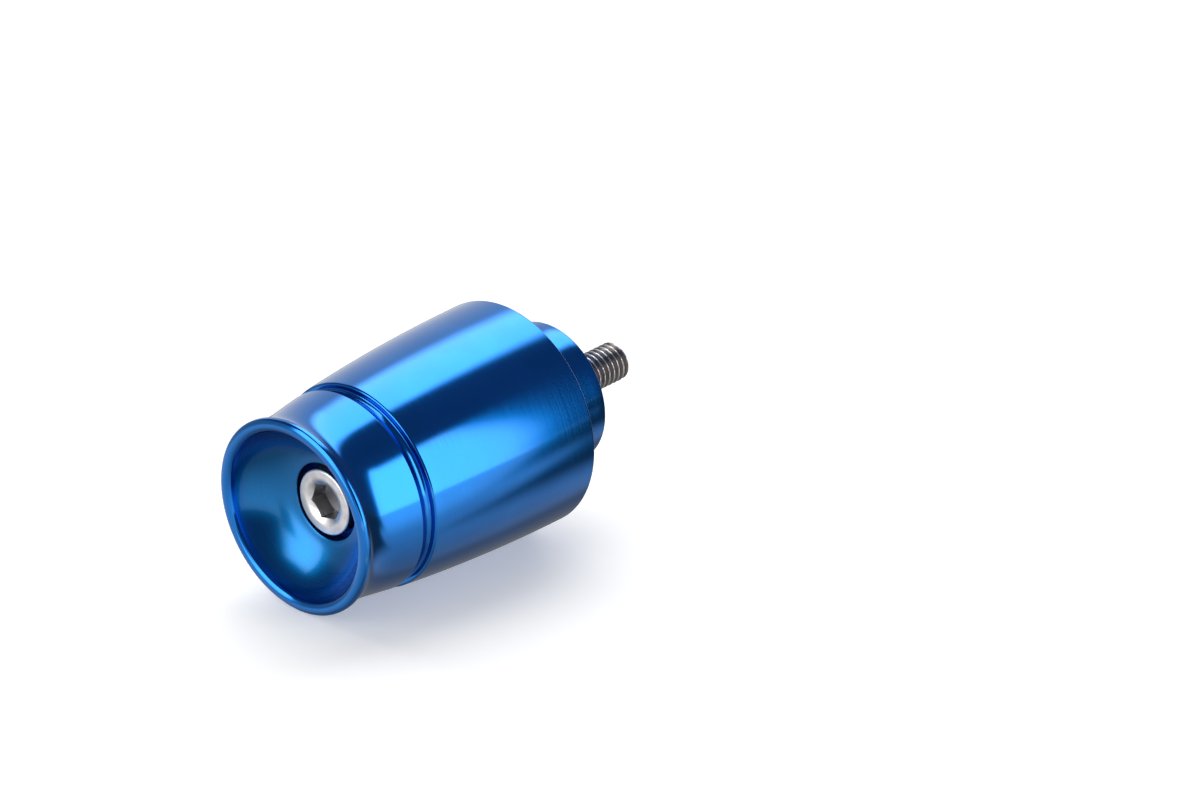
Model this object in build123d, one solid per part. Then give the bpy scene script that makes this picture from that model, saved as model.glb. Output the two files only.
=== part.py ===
from build123d import *
import os
from math import cos, radians, tan

# A bar end weight: one turned weight, and the cap screw that pulls it against a handlebar.
# All sizes are millimetres. The turning axis is X. The origin is the centre of the shoulder
# that meets the end of the handlebar, +X follows the screw into the bar, and the dished cup
# faces -X.

# The screw: an M6 socket head cap screw
thread_radius = 3.0
screw_length = 55.0
screw_head_radius = 5.1
screw_head_height = 6.0
screw_head_edge = 0.4
underhead_fillet = 0.2
tip_chamfer = 0.6
socket_across_flats = 5.0
socket_depth = 3.0
socket_mouth = 0.3
socket_point_angle = 120.0
socket_turn = 20.0

# The weight, from the handlebar outwards
nose_radius = 7.1
nose_length = 2.6
collar_radius = 11.0
collar_length = 9.1
barrel_radius = 17.5
barrel_length = 30.8
barrel_taper = 1.6
barrel_edge = 0.35
groove_width = 2.55
groove_depth = 0.9
groove_floor = 0.85
groove_wall = 0.25
cup_length = 11.35
cup_rear_radius = 15.5
neck_radius = 14.25
neck_place = 2.6
neck_round = 5.0
lip_radius = 15.22
lip_width = 1.92
lip_thickness = 1.0
lip_slope = 0.2
lip_break = 0.3
crest_inset = 0.4
crest_break = 0.12
dish_drop = 0.35
dish_bow = 1.54
edge_break = 0.3
corner_break = 0.2

# How the screw sits in the weight
clamped_length = 41.4
bore_clearance = 0.3
counterbore_clearance = 0.9
head_stands_proud = 0.36

# Places along the axis
shoulder = 0.0
nose_end = shoulder + nose_length
barrel_rear = shoulder - collar_length
groove_rear = barrel_rear - barrel_length
groove_front = groove_rear - groove_width
cup_front = groove_front - cup_length
seat = shoulder - clamped_length
screw_head_top = seat - screw_head_height
screw_tip = seat + screw_length
mouth = screw_head_top + head_stands_proud

# Radii that follow from others
barrel_front_radius = barrel_radius - barrel_taper
groove_radius = cup_rear_radius - groove_depth
dish_radius = lip_radius - lip_width
bore_radius = thread_radius + bore_clearance
counterbore_radius = screw_head_radius + counterbore_clearance

# The most of a run that a corner's round may use
ROUND_SHARE = 0.9


def rounded(before, corner, after, radius):
    """The two straight runs that meet at a corner, and its round, as large as the runs allow."""
    arriving = Vector(*corner) - Vector(*before)
    leaving = Vector(*after) - Vector(*corner)
    half_turn = radians(arriving.get_angle(leaving)) / 2
    largest = ROUND_SHARE * min(arriving.length, leaving.length) / tan(half_turn)
    return FilletPolyline(before, corner, after, radius=min(radius, largest))


def turned(outline):
    """The solid turned about X from a closed outline of (place along the axis, radius)."""
    return revolve(make_face((Plane.XZ * outline).edges()), Axis.X, 360)


def lip():
    """From the edge of the dish over the lip to its underside."""
    points = [
        (cup_front + dish_drop, dish_radius),
        (cup_front + crest_break, dish_radius + crest_break),
        (cup_front, dish_radius + crest_inset),
        (cup_front + lip_slope, lip_radius - lip_break),
        (cup_front + lip_slope + lip_break, lip_radius),
        (cup_front + lip_thickness - corner_break, lip_radius),
        (cup_front + lip_thickness, lip_radius - corner_break),
    ]
    return points, Polyline(*points)


def groove():
    """From the cup's rear edge down into the groove and up its sloping wall to the barrel."""
    points = [
        (groove_front - corner_break, cup_rear_radius),
        (groove_front, cup_rear_radius - corner_break),
        (groove_front + groove_wall, groove_radius),
        (groove_front + groove_wall + groove_floor, groove_radius),
        (groove_rear - edge_break, barrel_front_radius - edge_break / 2),
        (groove_rear, barrel_front_radius),
    ]
    return points, Polyline(*points)


def rear_outline():
    """From the barrel's rear edge along the collar and nose, back through the bore to the dish."""
    points = [
        (barrel_rear - barrel_edge, barrel_radius),
        (barrel_rear, barrel_radius - barrel_edge),
        (barrel_rear, collar_radius),
        (shoulder - edge_break, collar_radius),
        (shoulder, collar_radius - edge_break),
        (shoulder, nose_radius),
        (nose_end - edge_break, nose_radius),
        (nose_end, nose_radius - edge_break),
        (nose_end, bore_radius + edge_break),
        (nose_end - edge_break, bore_radius),
        (seat + edge_break, bore_radius),
        (seat, bore_radius + edge_break),
        (seat, counterbore_radius),
        (mouth + corner_break, counterbore_radius),
        (mouth, counterbore_radius + corner_break),
    ]
    return points, Polyline(*points)


def dish_arc(inner, outer):
    """The hollow of the dish: an arc that lies behind the straight line between its ends."""
    chord = Vector(*outer) - Vector(*inner)
    behind = Vector(chord.Y, -chord.X).normalized()
    middle = Vector(*inner) + chord * 0.5 + behind * dish_bow
    return ThreePointArc(inner, middle, outer)


def weight_body():
    """The turned weight: barrel, groove, flared cup with its dish, collar, nose and stepped bore."""
    lip_points, lip_line = lip()
    groove_points, groove_line = groove()
    rear_points, rear_line = rear_outline()
    neck = rounded(lip_points[-1], (cup_front + neck_place, neck_radius), groove_points[0], neck_round)
    barrel = TangentArc(rear_points[0], groove_points[-1], tangent=(-1, 0))
    dish = dish_arc(rear_points[-1], lip_points[0])
    return turned(lip_line + neck + groove_line + barrel + rear_line + dish)


def cap_screw():
    """The screw, turned, with its hexagon socket sunk in the head."""
    points = [
        (screw_head_top, 0),
        (screw_head_top, screw_head_radius - screw_head_edge),
        (screw_head_top + screw_head_edge, screw_head_radius),
        (seat, screw_head_radius),
        (seat, thread_radius + underhead_fillet),
        (seat + underhead_fillet, thread_radius),
        (screw_tip - tip_chamfer, thread_radius),
        (screw_tip, thread_radius - tip_chamfer),
        (screw_tip, 0),
    ]
    return turned(Polyline(*points, close=True)) - hex_socket()


def hex_socket():
    """The space of the socket: a hexagon with a countersunk mouth and a drilled point."""
    flat_radius = socket_across_flats / 2
    corner_radius = flat_radius / cos(radians(30))
    mouth_radius = corner_radius + socket_mouth
    point_length = flat_radius / tan(radians(socket_point_angle / 2))
    on_head = Plane(origin=(screw_head_top, 0, 0), x_dir=(0, 0, 1), z_dir=(1, 0, 0))
    hexagon = extrude(RegularPolygon(corner_radius, 6, rotation=socket_turn), socket_depth)
    upright = (Align.CENTER, Align.CENTER, Align.MIN)
    sunk = Cone(mouth_radius, 0, mouth_radius, align=upright)
    point = Pos(0, 0, socket_depth) * Cone(flat_radius, 0, point_length, align=upright)
    return on_head * (hexagon + sunk + point)


os.makedirs("parts", exist_ok=True)
export_step(weight_body(), "parts/weight_body.step")
export_step(cap_screw(), "parts/cap_screw.step")
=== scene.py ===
# A turned and anodised bar end weight with its cap screw, lying on a pale studio floor.
# Everything is in metres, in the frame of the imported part: X is the turning axis, the screw points
# along +X, and the dished cup faces -X.
import math

import bpy
from mathutils import Matrix, Vector


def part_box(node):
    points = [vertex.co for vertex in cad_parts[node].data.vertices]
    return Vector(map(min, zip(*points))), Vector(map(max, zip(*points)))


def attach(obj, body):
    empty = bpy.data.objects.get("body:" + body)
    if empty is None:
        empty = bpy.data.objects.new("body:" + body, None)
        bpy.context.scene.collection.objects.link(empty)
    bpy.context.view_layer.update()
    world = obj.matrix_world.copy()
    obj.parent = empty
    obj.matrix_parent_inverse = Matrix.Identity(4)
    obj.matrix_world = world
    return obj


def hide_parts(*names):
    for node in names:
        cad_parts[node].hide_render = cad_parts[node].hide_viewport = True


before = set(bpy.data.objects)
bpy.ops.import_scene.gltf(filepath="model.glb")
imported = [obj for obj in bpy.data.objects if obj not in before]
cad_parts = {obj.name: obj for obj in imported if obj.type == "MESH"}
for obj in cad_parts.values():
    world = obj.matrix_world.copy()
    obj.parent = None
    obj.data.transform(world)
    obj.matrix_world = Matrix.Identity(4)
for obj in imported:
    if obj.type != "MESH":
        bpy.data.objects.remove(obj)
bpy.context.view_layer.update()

MM = 0.001

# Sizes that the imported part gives
body_low, body_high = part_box("weight_body")
screw_low, screw_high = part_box("cap_screw")
cup_front = body_low.x
nose_end = body_high.x
barrel_radius = body_high.y
head_top = screw_low.x
screw_tip = screw_high.x
head_radius = screw_high.y

# Places along the axis
collar_length = 9.1 * MM
barrel_length = 30.8 * MM
groove_width = 2.55 * MM
head_height = 6.0 * MM
head_stands_proud = 0.36 * MM
shoulder = 0.0
barrel_rear = shoulder - collar_length
groove_rear = barrel_rear - barrel_length
groove_front = groove_rear - groove_width
seat = head_top + head_height
mouth = head_top + head_stands_proud

# Radii and edges of the weight
collar_radius = 11.0 * MM
nose_radius = 7.1 * MM
bore_radius = 3.3 * MM
counterbore_radius = 6.0 * MM
barrel_taper = 1.6 * MM
barrel_front_radius = barrel_radius - barrel_taper
barrel_edge = 0.35 * MM
cup_rear_radius = 15.5 * MM
cup_rear_round = 0.22 * MM
edge_round = 0.3 * MM
corner_round = 0.15 * MM
seat_round = 0.2 * MM
mouth_round = 0.18 * MM
mouth_break_width = 0.2 * MM
mouth_break_depth = 0.05 * MM

# The groove: a sloping front wall, a floor that is curved from wall to wall, and an upright rear wall.
# Places count from the groove's front edge and rises from its least radius
groove_radius = 14.66 * MM
front_foot_place = 0.28 * MM
front_foot_rise = 0.29 * MM
front_foot_round = 0.3 * MM
floor_front_place = 1.0 * MM
floor_front_round = 1.2 * MM
floor_rear_place = 1.55 * MM
floor_rear_rise = 0.02 * MM
floor_rear_round = 1.5 * MM
rear_wall_place = 2.1 * MM
rear_foot_rise = 0.17 * MM
rear_foot_round = 0.38 * MM
barrel_front_drop = 0.047 * MM
barrel_front_round = 0.36 * MM

# The cup's waist, which flares into the lip, and the dish inside the lip's bead
neck_radius = 14.25 * MM
neck_place = 2.6 * MM
flare_share = 0.49
lip_radius = 15.17 * MM
lip_thickness = 1.0 * MM
lip_rear_round = 0.22 * MM
lip_foot_length = 0.2 * MM
lip_foot_drop = 0.12 * MM
bead_depth = 0.5 * MM
bead_crest_radius = 14.2 * MM
dish_radius = 13.3 * MM
dish_bow = 1.54 * MM

# The screw
thread_radius = 3.0 * MM
thread_pitch = 1.0 * MM
thread_depth = 0.61 * MM
thread_length = 24.0 * MM
thread_runout = 2 * thread_pitch
thread_root_share = 0.12
thread_flank_share = 0.74
tip_chamfer = 0.4 * MM
head_round = 0.28 * MM
head_flat_width = 1.1 * MM
head_foot_edge = 0.15 * MM
underhead_fillet = 0.2 * MM
knurl_depth = 0.12 * MM
knurl_from_round = 0.25 * MM
knurl_from_seat = 0.35 * MM
socket_flat = 2.6 * MM
socket_depth = 3.0 * MM
socket_point_half_angle = math.radians(60)
socket_mouth_radius = 3.45 * MM
socket_mouth_slope = 0.6
socket_turn = math.radians(40)
socket_side_angle = math.tau / 6

# Colours as linear light
ANODISED_DARK = (0.002, 0.165, 0.57, 1)
ANODISED_LIGHT = (0.004, 0.185, 0.63, 1)
# The dish's colour: darker and less blue, painted shade for the dimmer light inside the hollow
ANODISED_DISH_PAINTED_SHADE = (0.002, 0.155, 0.43, 1)
# The edges' colour: lighter, partly wear and partly a painted highlight where sharp edges catch the
# light
ANODISED_EDGE_WEAR_AND_HIGHLIGHT = (0.12, 0.38, 0.80, 1)
STEEL_TOP = (0.86, 0.85, 0.86, 1)
STEEL_THREAD = (0.74, 0.71, 0.71, 1)
STEEL_STAIN = (0.50, 0.48, 0.46, 1)
# Painted shade for the thread's roots
STEEL_ROOT_PAINTED_SHADE = (0.27, 0.24, 0.215, 1)
# Painted shade for the socket's walls
STEEL_SOCKET_PAINTED_SHADE = (0.42, 0.41, 0.41, 1)

WHITE = (1, 1, 1, 1)

# How finely the turned pieces are divided, and how they are shaded
AROUND = 192
SCREW_AROUND = 120
ROUND_STEPS = 8
BEAD_STEPS = 16
FLARE_STEPS = 24
BARREL_STEPS = 26
DISH_STEPS = 24
THREAD_STEPS = 16
SOCKET_WALL_SHARES = (0.34, 0.67, 1.0)
RUN_STEP = 1.2 * MM
BODY_SHARP_ANGLE = math.radians(32)
SCREW_SHARP_ANGLE = math.radians(40)
FAVOUR_LARGE_FACES = 100


# Outlines

def arc_points(centre, start, end, steps):
    """Points of the shorter arc about the centre from start to end, both ends included."""
    first = start - centre
    turn = first.angle_signed(end - centre)
    return [centre + Matrix.Rotation(-turn * k / steps, 2) @ first for k in range(steps + 1)]


def rounded_corner(before, corner, after, radius):
    """The points of a corner's round: one point if it is sharp."""
    if radius == 0:
        return [corner]
    arriving = (corner - before).normalized()
    leaving = (after - corner).normalized()
    half_turn = abs(arriving.angle_signed(leaving)) / 2
    reach = radius * math.tan(half_turn)
    bisector = (leaving - arriving).normalized()
    centre = corner + bisector * radius / math.cos(half_turn)
    return arc_points(centre, corner - arriving * reach, corner + leaving * reach, ROUND_STEPS)


def rounded_run(corners):
    """Straight runs through (place, radius, round) corners, with the inner corners rounded."""
    points = [Vector(corners[0][:2])]
    for before, corner, after in zip(corners, corners[1:], corners[2:]):
        points += rounded_corner(Vector(before[:2]), Vector(corner[:2]), Vector(after[:2]), corner[2])
    return points + [Vector(corners[-1][:2])]


def bowed(start, end, bow, steps):
    """Points between two ends on an arc that bows to the right of the way from start to end."""
    chord = end - start
    right = Vector((chord.y, -chord.x)).normalized()
    radius = (chord.length / 2) ** 2 / (2 * bow) + bow / 2
    centre = (start + end) / 2 + right * (bow - radius)
    return arc_points(centre, start, end, steps)


def swept(start, corner, end, steps):
    """Points on a parabola that leaves start towards the corner and comes to end from it."""
    points = []
    for k in range(steps + 1):
        share = k / steps
        points.append(start.lerp(corner, share).lerp(corner.lerp(end, share), share))
    return points


def crowned(start, end, steps):
    """The barrel's side from rear to front: parallel to the axis at the rear, then falling away."""
    points = []
    for k in range(steps + 1):
        share = k / steps
        place = start.x + (end.x - start.x) * share
        points.append(Vector((place, start.y + (end.y - start.y) * share ** 2)))
    return points


def divided(points):
    """The same outline with its long runs divided, so that shading stays even along them."""
    out = [points[0]]
    for a, b in zip(points, points[1:]):
        pieces = max(1, round((b - a).length / RUN_STEP))
        out += [a.lerp(b, k / pieces) for k in range(1, pieces + 1)]
    return out


def bead():
    """The lip's rounded front, from the edge of the dish over its crest to the lip's full radius."""
    half_width = lip_radius - bead_crest_radius
    inner = math.acos((dish_radius - bead_crest_radius) / half_width)
    points = []
    for k in range(BEAD_STEPS + 1):
        angle = inner * (1 - k / BEAD_STEPS)
        points.append(Vector((cup_front + bead_depth * (1 - math.sin(angle)),
                              bead_crest_radius + half_width * math.cos(angle))))
    return points


def lip_outline():
    """The lip from the edge of the dish over its bead to the rear, where the flare begins."""
    return bead() + rounded_run([
        (cup_front + bead_depth, lip_radius, 0),
        (cup_front + lip_thickness, lip_radius, lip_rear_round),
        (cup_front + lip_thickness + lip_foot_length, lip_radius - lip_foot_drop, 0),
    ])[1:]


def flare_outline(start):
    """The curve of the cup's waist, up to where the cup's cone runs straight."""
    neck = Vector((cup_front + neck_place, neck_radius))
    cup_rear = Vector((groove_front, cup_rear_radius))
    return swept(start, neck, neck.lerp(cup_rear, flare_share), FLARE_STEPS)


def groove_outline(start):
    """The cup's cone behind the flare, the groove's walls and floor, and the barrel's front edge."""
    rear_wall = groove_front + rear_wall_place
    return rounded_run([
        (start.x, start.y, 0),
        (groove_front, cup_rear_radius, cup_rear_round),
        (groove_front + front_foot_place, groove_radius + front_foot_rise, front_foot_round),
        (groove_front + floor_front_place, groove_radius, floor_front_round),
        (groove_front + floor_rear_place, groove_radius + floor_rear_rise, floor_rear_round),
        (rear_wall, groove_radius + rear_foot_rise, rear_foot_round),
        (rear_wall, barrel_front_radius - barrel_front_drop, barrel_front_round),
        (groove_rear, barrel_front_radius, 0),
    ])


def rear_outline():
    """From the barrel's rear edge over collar and nose, back through the bore, to the dish's floor."""
    return rounded_run([
        (barrel_rear - barrel_edge, barrel_radius, 0),
        (barrel_rear, barrel_radius, edge_round),
        (barrel_rear, collar_radius, corner_round),
        (shoulder, collar_radius, edge_round),
        (shoulder, nose_radius, 0),
        (nose_end, nose_radius, edge_round),
        (nose_end, bore_radius, edge_round),
        (seat, bore_radius, seat_round),
        (seat, counterbore_radius, 0),
        (mouth, counterbore_radius, mouth_round),
        (mouth - mouth_break_depth, counterbore_radius + mouth_break_width, 0),
    ])


def body_outline():
    """The weight's section, once round: cup, groove, barrel, collar, nose, bore and dish."""
    lip = lip_outline()
    flare = flare_outline(lip[-1])
    front = lip + flare[1:] + groove_outline(flare[-1])[1:]
    rear = rear_outline()
    barrel = crowned(rear[0], front[-1], BARREL_STEPS)
    dish = bowed(rear[-1], front[0], dish_bow, DISH_STEPS)
    return divided(front + barrel[::-1][1:] + rear[1:] + dish[1:-1])


# Mesh building

def ring_mesh(name, rings, closed):
    """A mesh of quads between rings of points, where a ring of one point is the tip of a fan.

    A closed mesh has quads from its last ring back to its first too.
    """
    vertices = []
    faces = []
    starts = []
    for ring in rings:
        starts.append(len(vertices))
        vertices += ring
    pairs = list(zip(range(len(rings)), range(1, len(rings))))
    if closed:
        pairs.append((len(rings) - 1, 0))
    for a, b in pairs:
        faces += faces_between(starts[a], len(rings[a]), starts[b], len(rings[b]))
    mesh = bpy.data.meshes.new(name)
    mesh.from_pydata(vertices, [], faces)
    mesh.validate()
    piece = bpy.data.objects.new(name, mesh)
    bpy.context.scene.collection.objects.link(piece)
    return piece


def faces_between(a, size_a, b, size_b):
    """The faces between two rings that start at vertices a and b."""
    around = max(size_a, size_b)
    faces = []
    for k in range(around):
        n = (k + 1) % around
        if size_a == 1:
            faces.append((a, b + k, b + n))
        elif size_b == 1:
            faces.append((a + k, b, a + n))
        else:
            faces.append((a + k, b + k, b + n, a + n))
    return faces


def smooth(piece, sharp_angle):
    """Smooth shading with sharp edges kept, and normals that follow the larger faces."""
    piece.data.shade_smooth()
    piece.data.set_sharp_from_angle(angle=sharp_angle)
    modifier = piece.modifiers.new("even shading", "WEIGHTED_NORMAL")
    modifier.keep_sharp = True
    modifier.weight = FAVOUR_LARGE_FACES
    return piece


def circle(place, radius, around):
    """A ring about the axis. The angle is measured from +Z towards +Y."""
    angles = [math.tau * k / around for k in range(around)]
    return [(place, radius * math.sin(a), radius * math.cos(a)) for a in angles]


def make_body():
    """The weight, turned from its section."""
    rings = [circle(point.x, point.y, AROUND) for point in body_outline()]
    return smooth(ring_mesh("turned_weight", rings, closed=True), BODY_SHARP_ANGLE)


# The screw

def hexagon(angle):
    """Distance from the axis to the socket's wall at an angle."""
    from_corner = (angle - socket_turn) % socket_side_angle
    return socket_flat / math.cos(from_corner - socket_side_angle / 2)


def socket_rings():
    """From the middle of the socket's floor up its walls and out over the countersunk mouth."""
    angles = [math.tau * k / SCREW_AROUND for k in range(SCREW_AROUND)]

    def ring(place_at, radius_at):
        return [(place_at(a), radius_at(a) * math.sin(a), radius_at(a) * math.cos(a)) for a in angles]

    def rim(angle):
        return head_top + (socket_mouth_radius - hexagon(angle)) * socket_mouth_slope

    floor = head_top + socket_depth
    point = floor + socket_flat / math.tan(socket_point_half_angle)
    rings = [[(point, 0.0, 0.0)]]
    rings.append(ring(lambda a: floor, lambda a: socket_flat))
    rings.append(ring(lambda a: floor, hexagon))
    for share in SOCKET_WALL_SHARES:
        rings.append(ring(lambda a: floor + (rim(a) - floor) * share, hexagon))
    rings.append(ring(lambda a: head_top, lambda a: socket_mouth_radius))
    return rings


def screw_circle(place, radius):
    """A ring about the axis with the screw's number of points."""
    return circle(place, radius, SCREW_AROUND)


def knurled(place, radius):
    """A ring whose every second point lies lower, as in a straight knurl."""
    high = screw_circle(place, radius)
    low = screw_circle(place, radius - knurl_depth)
    return [low[k] if k % 2 else high[k] for k in range(SCREW_AROUND)]


def head_rings():
    """The head's flat top, rounded edge, knurled side and underside, and the fillet to the shank."""
    knurl_start = head_top + head_round + knurl_from_round
    knurl_end = seat - knurl_from_seat
    edge = rounded_run([
        (head_top, socket_mouth_radius, 0),
        (head_top, head_radius, head_round),
        (knurl_end, head_radius, 0),
    ])[1:-1]
    rings = [screw_circle(head_top, head_radius - head_flat_width)]
    rings += [screw_circle(point.x, point.y) for point in edge]
    rings.append(screw_circle(knurl_start - knurl_depth, head_radius))
    rings.append(knurled(knurl_start, head_radius))
    rings.append(knurled(knurl_end, head_radius))
    rings.append(screw_circle(knurl_end + knurl_depth, head_radius))
    rings.append(screw_circle(seat - head_foot_edge, head_radius))
    rings.append(screw_circle(seat, head_radius - head_foot_edge))
    rings.append(screw_circle(seat, thread_radius + underhead_fillet))
    rings.append(screw_circle(seat + underhead_fillet, thread_radius))
    return rings


def thread_form(phase):
    """How deep the thread lies below its crest at a phase of the pitch, from 0 to 1."""
    away = abs(phase - 0.5) * 2
    ramp = min(1.0, max(0.0, (away - thread_root_share) / thread_flank_share))
    return 1.0 - ramp


def thread_rings():
    """The threaded end: rings whose points dip where the helix has its groove, then the tip."""
    start = screw_tip - thread_length
    steps = round(thread_length / thread_pitch * THREAD_STEPS)
    rings = []
    for j in range(steps + 1):
        place = start + thread_length * j / steps
        fade = min(1.0, (place - start) / thread_runout)
        chamfer = thread_radius - max(0.0, place - (screw_tip - tip_chamfer))
        ring = []
        for k in range(SCREW_AROUND):
            angle = math.tau * k / SCREW_AROUND
            phase = (place / thread_pitch + angle / math.tau) % 1.0
            r = min(thread_radius - thread_depth * fade * thread_form(phase), chamfer)
            ring.append((place, r * math.sin(angle), r * math.cos(angle)))
        rings.append(ring)
    return rings + [[(screw_tip, 0.0, 0.0)]]


def make_screw():
    """The cap screw: socket, head, shank and thread in one skin."""
    rings = socket_rings() + head_rings() + thread_rings()
    return smooth(ring_mesh("threaded_cap_screw", rings, closed=False), SCREW_SHARP_ANGLE)


# Shader building

class Graph:
    """Adds shader nodes to a tree. A value may be a number, a colour or another node's socket."""

    def __init__(self, tree):
        self.nodes = tree.nodes
        self.links = tree.links

    def feed(self, socket, value):
        """Gives a socket a value or a link."""
        if isinstance(value, bpy.types.NodeSocket):
            self.links.new(value, socket)
        else:
            socket.default_value = value

    def maths(self, operation, first, second=0.0):
        node = self.nodes.new("ShaderNodeMath")
        node.operation = operation
        self.feed(node.inputs[0], first)
        self.feed(node.inputs[1], second)
        return node.outputs[0]

    def dot(self, first, second):
        node = self.nodes.new("ShaderNodeVectorMath")
        node.operation = "DOT_PRODUCT"
        self.feed(node.inputs[0], first)
        self.feed(node.inputs[1], second)
        return node.outputs["Value"]

    def ranged(self, value, low, high, out_low=0.0, out_high=1.0, smooth=True):
        """The value carried from one range to another, and held at its ends."""
        node = self.nodes.new("ShaderNodeMapRange")
        node.interpolation_type = "SMOOTHSTEP" if smooth else "LINEAR"
        self.feed(node.inputs["Value"], value)
        self.feed(node.inputs["From Min"], low)
        self.feed(node.inputs["From Max"], high)
        self.feed(node.inputs["To Min"], out_low)
        self.feed(node.inputs["To Max"], out_high)
        return node.outputs["Result"]

    def mixed(self, share, first, second):
        node = self.nodes.new("ShaderNodeMix")
        node.data_type = "RGBA"
        self.feed(node.inputs["Factor"], share)
        self.feed(node.inputs["A"], first)
        self.feed(node.inputs["B"], second)
        return node.outputs["Result"]

    def noise(self, where, scale, detail, line=False):
        """Noise in space, or along a line where the place is one number."""
        node = self.nodes.new("ShaderNodeTexNoise")
        node.noise_dimensions = "1D" if line else "3D"
        self.feed(node.inputs["W" if line else "Vector"], where)
        node.inputs["Scale"].default_value = scale
        node.inputs["Detail"].default_value = detail
        return node.outputs["Fac"]

    def bump(self, height, distance, strength):
        node = self.nodes.new("ShaderNodeBump")
        node.inputs["Distance"].default_value = distance
        node.inputs["Strength"].default_value = strength
        self.feed(node.inputs["Height"], height)
        return node.outputs["Normal"]


# Materials

# The turning lines: two noises along the turned profile, in cells a metre, and what they do to gloss
FINE_LINES = 7000.0
COARSE_LINES = 2200.0
COARSE_SHARE = 0.35
LINES_RANGE = (0.3, 0.7)
LINES_ROUGHNESS = (0.11, 0.18)
LINES_DEPTH = 0.001 * MM
COAT_LINES_DEPTH = 0.0007 * MM
LINES_STRENGTH = 0.3

# The rest of the anodised finish: clouds in its dye, edges lightened partly by wear and partly by a
# painted highlight, a rougher dish darkened with painted shade, and a clear skin
CLOUD_SCALE = 90.0
CLOUD_RANGE = (0.35, 0.65)
EDGE_WEAR_AND_HIGHLIGHT_RANGE = (0.52, 0.62)
EDGE_WEAR_AND_HIGHLIGHT_SHARE = 0.35
DISH_EDGE_FADE = 0.4 * MM
DISH_ROUGHNESS = 0.15
LINES_ANISOTROPY = 0.2
QUARTER_TURN = 0.25
SKIN_WEIGHT = 0.45
SKIN_ROUGHNESS = 0.05
SKIN_IOR = 1.5

# Steel: grain and stains in cells a metre, how far before the shoulder the thread's tone comes in, the
# depths where the painted shade in the thread's roots and on the socket's wall is full and where it
# ends, and the radii where the socket's painted shade is full and where it ends, as shares of the
# flats' distance from the axis
GRAIN_SCALE = 5000.0
GRAIN_DEPTH = 0.01 * MM
GRAIN_STRENGTH = 0.5
STAIN_SCALE = 700.0
STAIN_RANGE = (0.3, 0.8)
STAIN_SHARE = 0.5
DULL_RANGE = (0.3, 0.7)
STEEL_ROUGHNESS = (0.26, 0.38)
THREAD_TONE_FADE = 2 * MM
ROOT_SHADE_FULL_DEPTH = 0.15 * MM
ROOT_SHADE_END_DEPTH = 0.02 * MM
SOCKET_FULL_DEPTH = 0.75 * MM
SOCKET_END_DEPTH = 0.45 * MM
SOCKET_FULL_REACH = 1.16
SOCKET_END_REACH = 1.22


def material(name):
    """A new node material, the graph that it is built with and its principled shader."""
    made = bpy.data.materials.new(name)
    made.use_nodes = True
    return made, Graph(made.node_tree), made.node_tree.nodes["Principled BSDF"]


def turned_place(graph):
    """Object coordinates, the place along the axis, and a number that runs along a turned profile."""
    where = graph.nodes.new("ShaderNodeTexCoord").outputs["Object"]
    along = graph.dot(where, (1, 0, 0))
    square = graph.maths("SUBTRACT", graph.dot(where, where), graph.maths("MULTIPLY", along, along))
    radius = graph.maths("SQRT", square)
    return where, along, graph.maths("SUBTRACT", along, radius)


def around_axis(graph):
    """The direction round the axis, along which a cutting tool leaves its lines."""
    node = graph.nodes.new("ShaderNodeTangent")
    node.direction_type = "RADIAL"
    node.axis = "X"
    return node.outputs["Tangent"]


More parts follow.
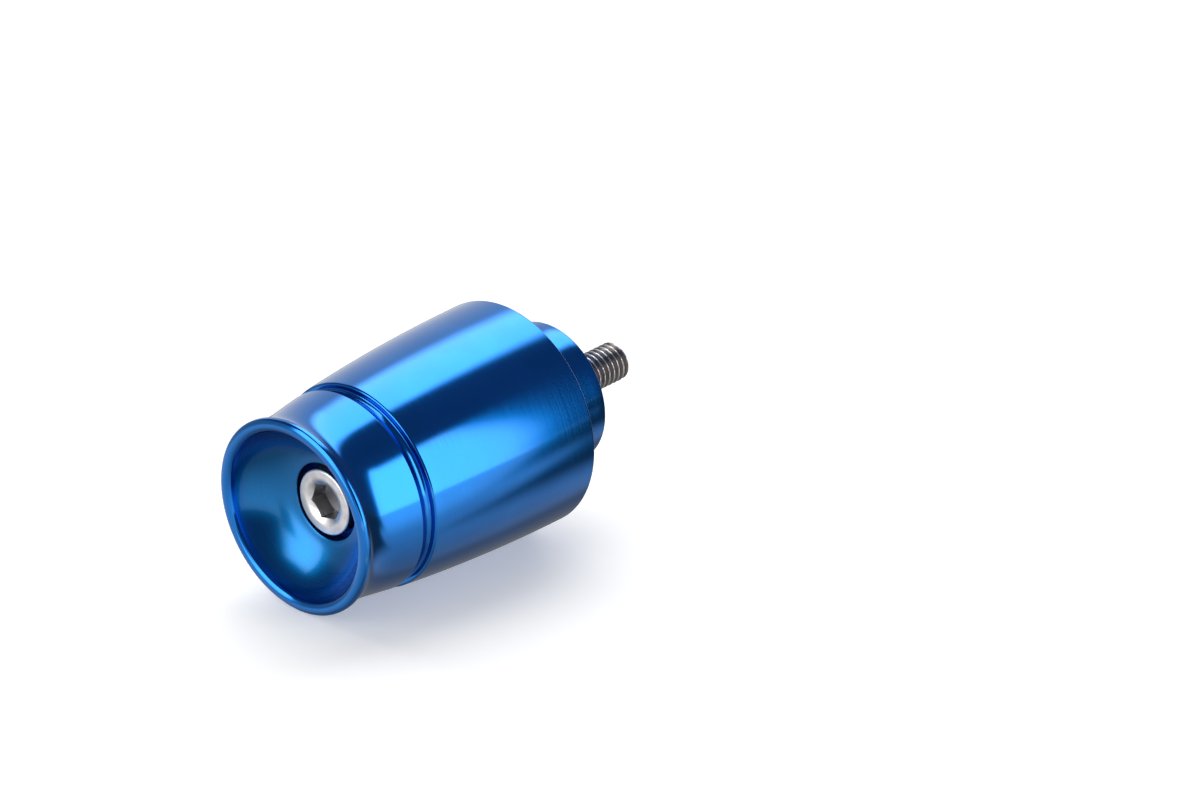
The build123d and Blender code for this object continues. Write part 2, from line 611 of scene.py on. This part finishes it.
def anodised():
    """Blue dyed anodising over fine turning lines: tinted metal under a clear, glossy skin, with edges
    lightened partly by wear and partly by a painted highlight, and painted shade in the dish.
    """
    made, graph, shader = material("anodised_blue")
    where, along, profile = turned_place(graph)
    fine = graph.noise(profile, FINE_LINES, detail=1.0, line=True)
    coarse = graph.noise(profile, COARSE_LINES, detail=2.0, line=True)
    lines = graph.maths("ADD", graph.maths("MULTIPLY", coarse, COARSE_SHARE),
                        graph.maths("MULTIPLY", fine, 1 - COARSE_SHARE))
    clouds = graph.noise(where, CLOUD_SCALE, detail=3.0)
    pointed = graph.nodes.new("ShaderNodeNewGeometry").outputs["Pointiness"]
    # Sharp edges are lightened, partly as wear and partly as a painted highlight
    wear_and_highlight = graph.maths("MULTIPLY", graph.ranged(pointed, *EDGE_WEAR_AND_HIGHLIGHT_RANGE), EDGE_WEAR_AND_HIGHLIGHT_SHARE)
    radius = graph.maths("SUBTRACT", along, profile)
    # The dish mask gives the dish a darker, less blue colour as painted shade for the dim light in the
    # hollow, and more roughness
    in_dish = graph.maths("MULTIPLY", graph.maths("LESS_THAN", along, seat),
                          graph.ranged(radius, dish_radius - DISH_EDGE_FADE, dish_radius, 1.0, 0.0))
    tone = graph.mixed(graph.ranged(clouds, *CLOUD_RANGE), ANODISED_DARK, ANODISED_LIGHT)
    tone = graph.mixed(in_dish, tone, ANODISED_DISH_PAINTED_SHADE)
    graph.feed(shader.inputs["Base Color"], graph.mixed(wear_and_highlight, tone, ANODISED_EDGE_WEAR_AND_HIGHLIGHT))
    shader.inputs["Metallic"].default_value = 1.0
    roughness = graph.ranged(lines, *LINES_RANGE, *LINES_ROUGHNESS, smooth=False)
    extra = graph.maths("MULTIPLY", in_dish, DISH_ROUGHNESS)
    graph.feed(shader.inputs["Roughness"], graph.maths("ADD", roughness, extra))
    shader.inputs["Anisotropic"].default_value = LINES_ANISOTROPY
    shader.inputs["Anisotropic Rotation"].default_value = QUARTER_TURN
    graph.feed(shader.inputs["Tangent"], around_axis(graph))
    graph.feed(shader.inputs["Normal"], graph.bump(lines, LINES_DEPTH, LINES_STRENGTH))
    shader.inputs["Coat Weight"].default_value = SKIN_WEIGHT
    shader.inputs["Coat Roughness"].default_value = SKIN_ROUGHNESS
    shader.inputs["Coat IOR"].default_value = SKIN_IOR
    graph.feed(shader.inputs["Coat Normal"], graph.bump(lines, COAT_LINES_DEPTH, LINES_STRENGTH))
    return made


def steel():
    """Stainless steel: a bright head with faint stains, a socket darkened with painted shade, and
    painted shade in the thread's roots.
    """
    made, graph, shader = material("stainless_steel")
    where, along, profile = turned_place(graph)
    radius = graph.maths("SUBTRACT", along, profile)
    grain = graph.noise(where, GRAIN_SCALE, detail=3.0)
    stains = graph.noise(where, STAIN_SCALE, detail=2.0)
    threaded = graph.ranged(along, shoulder - THREAD_TONE_FADE, shoulder)
    # The socket's walls below its mouth are darkened with painted shade
    socket_wall = graph.ranged(along, head_top + SOCKET_FULL_DEPTH, head_top + SOCKET_END_DEPTH,
                               1.0, 0.0)
    inside = graph.ranged(radius, socket_flat * SOCKET_FULL_REACH, socket_flat * SOCKET_END_REACH,
                          1.0, 0.0)
    # The thread's roots are darkened with painted shade
    root = graph.ranged(radius, thread_radius - ROOT_SHADE_FULL_DEPTH, thread_radius - ROOT_SHADE_END_DEPTH,
                        1.0, 0.0)
    stained = graph.ranged(stains, *STAIN_RANGE, 0.0, STAIN_SHARE)
    shaded = graph.mixed(stained, STEEL_TOP, STEEL_STAIN)
    shaded = graph.mixed(threaded, shaded, STEEL_THREAD)
    shaded = graph.mixed(graph.maths("MULTIPLY", root, threaded), shaded, STEEL_ROOT_PAINTED_SHADE)
    before_seat = graph.maths("LESS_THAN", along, seat)
    socket_shade = graph.maths("MULTIPLY", graph.maths("MULTIPLY", socket_wall, inside), before_seat)
    graph.feed(shader.inputs["Base Color"], graph.mixed(socket_shade, shaded, STEEL_SOCKET_PAINTED_SHADE))
    shader.inputs["Metallic"].default_value = 1.0
    roughness = graph.ranged(stains, *DULL_RANGE, *STEEL_ROUGHNESS, smooth=False)
    graph.feed(shader.inputs["Roughness"], roughness)
    graph.feed(shader.inputs["Normal"], graph.bump(grain, GRAIN_DEPTH, GRAIN_STRENGTH))
    return made


# Camera and studio

camera_place = Vector((-682.28, -693.17, 473.60)) * MM
camera_look = Vector((0.63477, 0.63574, -0.43920))
camera_up = Vector((0.34207, 0.27846, 0.89747))
camera_lens = 218.62
camera_near = 0.05
camera_far = 20

# Directions along the floor: its upright, away from the camera, and to the right of the picture
floor_up = Vector((0.0668, 0, 0.9978)).normalized()
ahead = (camera_look - floor_up * camera_look.dot(floor_up)).normalized()
side = ahead.cross(floor_up)

# The floor: how far behind the cup's front it touches the lip, how far it reaches, and its finish
FLOOR_TOUCH = 0.4 * MM
FLOOR_REACH = 2.0
FLOOR_CORNERS = ((-1, -1), (-1, 1), (1, 1), (1, -1))
FLOOR_WHITE = (0.9, 0.9, 0.9, 1)
FLOOR_GLOW = 0.33

# What the metal mirrors, at heights over the horizon in degrees. The ground grows lighter towards the
# horizon, the room above it is dark, and matt surfaces are lit by one even light instead
GROUND_HEIGHTS = (-60, -6)
GROUND_LIGHTS = (0.28, 1.15)
HORIZON_HEIGHTS = (-3, 1)
ROOM_LIGHT = (0.09, 0.12, 0.18, 1)
DIFFUSE_FILL = 0.25

# Patches of light, the later over the earlier: turns to the right of straight ahead and heights over
# the horizon, each as an edge with its softness and the other edge with its own, then the light
PATCHES = {
    "shadow behind": ((-25, 10, 50, 12), (-75, 5, -15, 5), 0.2),
    "shadow in front": ((-90, 8, 10, 10), (-90, 1, -46, 4), 0.25),
    "dark low right": ((50, 10, 92, 2.5), (-36, 8, 0, 4), 0.08),
    "dark right": ((38, 8, 98.5, 1.5), (-16, 6, 0, 4), 0.08),
    "dim left": ((-97, 2, -45, 8), (-20, 6, 12, 8), 0.36),
    "bright floor": ((99.5, 2, 126, 4), (-20, 10, -3, 1), 1.6),
    "backdrop": ((-45, 8, 24, 10), (-14, 6, 40, 4), 0.75),
    "box behind": ((-14, 4, 45, 9), (38.5, 6, 95, 1), 3.25),
    "box right": ((99.5, 2, 121, 3), (-4, 1, 40, 3), 3.4),
    "box left": ((-146, 12, -99, 2), (-13, 7, 46, 6), 3.2),
    "dim far left": ((-149, 6, -129, 5), (-16, 6, 10, 5), 0.35),
}

# The overhead lamp: how wide it is in degrees, and how far it leans from the floor's upright
OVERHEAD_SPREAD = 90
OVERHEAD_POWER = 3.3
OVERHEAD_LEAN_AHEAD = 1.6
OVERHEAD_LEAN_SIDE = -0.25


def make_camera():
    """The camera at the photograph's place."""
    data = bpy.data.cameras.new("camera")
    data.lens = camera_lens
    data.clip_start = camera_near
    data.clip_end = camera_far
    camera = bpy.data.objects.new("camera", data)
    right = camera_look.cross(camera_up).normalized()
    up = right.cross(camera_look).normalized()
    axes = Matrix((right, up, -camera_look.normalized())).transposed()
    camera.matrix_world = Matrix.Translation(camera_place) @ axes.to_4x4()
    bpy.context.scene.collection.objects.link(camera)
    bpy.context.scene.camera = camera


def make_floor():
    """A pale floor under the lip and the barrel, as the weight lies on it. Gloss doesn't show it."""
    touch = Vector((cup_front + FLOOR_TOUCH, 0, -lip_radius))
    corners = [touch + (ahead * a + side * b) * FLOOR_REACH for a, b in FLOOR_CORNERS]
    mesh = bpy.data.meshes.new("floor")
    mesh.from_pydata(corners, [], [(0, 1, 2, 3)])
    floor = bpy.data.objects.new("floor", mesh)
    bpy.context.scene.collection.objects.link(floor)
    mesh.materials.append(floor_finish())
    floor.visible_glossy = False


def floor_finish():
    """Matt white, with a glow that lifts the shadow."""
    made, _, shader = material("floor")
    shader.inputs["Base Color"].default_value = FLOOR_WHITE
    shader.inputs["Roughness"].default_value = 1.0
    shader.inputs["Specular IOR Level"].default_value = 0.0
    shader.inputs["Emission Color"].default_value = WHITE
    shader.inputs["Emission Strength"].default_value = FLOOR_GLOW
    return made


def make_world():
    """A dark studio with large soft boxes round the weight. The camera itself sees plain white."""
    world = bpy.data.worlds.new("studio")
    world.use_nodes = True
    bpy.context.scene.world = world
    graph = Graph(world.node_tree)
    gaze = graph.nodes.new("ShaderNodeTexCoord").outputs["Generated"]
    degrees = 180 / math.pi
    turn = graph.maths("ARCTAN2", graph.dot(gaze, side), graph.dot(gaze, ahead))
    turn = graph.maths("MULTIPLY", turn, degrees)
    height = graph.maths("MULTIPLY", graph.maths("ARCSINE", graph.dot(gaze, floor_up)), degrees)
    ground = grey_of(graph, graph.ranged(height, *GROUND_HEIGHTS, *GROUND_LIGHTS, smooth=False))
    light = graph.mixed(graph.ranged(height, *HORIZON_HEIGHTS), ground, ROOM_LIGHT)
    for turns, heights, glow in PATCHES.values():
        inside = graph.maths("MULTIPLY", span(graph, turn, *turns), span(graph, height, *heights))
        light = graph.mixed(inside, light, grey(glow))
    ray = graph.nodes.new("ShaderNodeLightPath").outputs
    light = graph.mixed(ray["Is Diffuse Ray"], light, grey(DIFFUSE_FILL))
    light = graph.mixed(ray["Is Camera Ray"], light, WHITE)
    graph.feed(graph.nodes["Background"].inputs["Color"], light)


def grey(level):
    """A level of light as a colour without a tint."""
    return (level, level, level, 1)


def grey_of(graph, value):
    """A socket's number as a colour without a tint."""
    node = graph.nodes.new("ShaderNodeCombineColor")
    for channel in ("Red", "Green", "Blue"):
        graph.feed(node.inputs[channel], value)
    return node.outputs["Color"]


def span(graph, value, first, first_soft, last, last_soft):
    """One inside a span of angles, fading to nothing about each end over twice that end's softness."""
    rising = graph.ranged(value, first - first_soft, first + first_soft)
    falling = graph.ranged(value, last - last_soft, last + last_soft, 1.0, 0.0)
    return graph.maths("MULTIPLY", rising, falling)


def make_lamp():
    """A wide lamp overhead that whitens the floor and gives the soft shadow. Gloss doesn't show it."""
    data = bpy.data.lights.new("overhead", "SUN")
    data.angle = math.radians(OVERHEAD_SPREAD)
    data.energy = OVERHEAD_POWER
    lamp = bpy.data.objects.new("overhead", data)
    towards = (floor_up + ahead * OVERHEAD_LEAN_AHEAD + side * OVERHEAD_LEAN_SIDE).normalized()
    lamp.rotation_euler = towards.to_track_quat("Z", "Y").to_euler()
    lamp.visible_glossy = False
    bpy.context.scene.collection.objects.link(lamp)


def dress(piece, node, finish):
    """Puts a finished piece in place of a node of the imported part."""
    piece.data.materials.append(finish)
    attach(piece, "root")
    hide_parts(node)


body = make_body()
screw = make_screw()
dress(body, "weight_body", anodised())
dress(screw, "cap_screw", steel())
make_camera()
make_floor()
make_world()
make_lamp()
bpy.context.scene.view_settings.view_transform = "Standard"
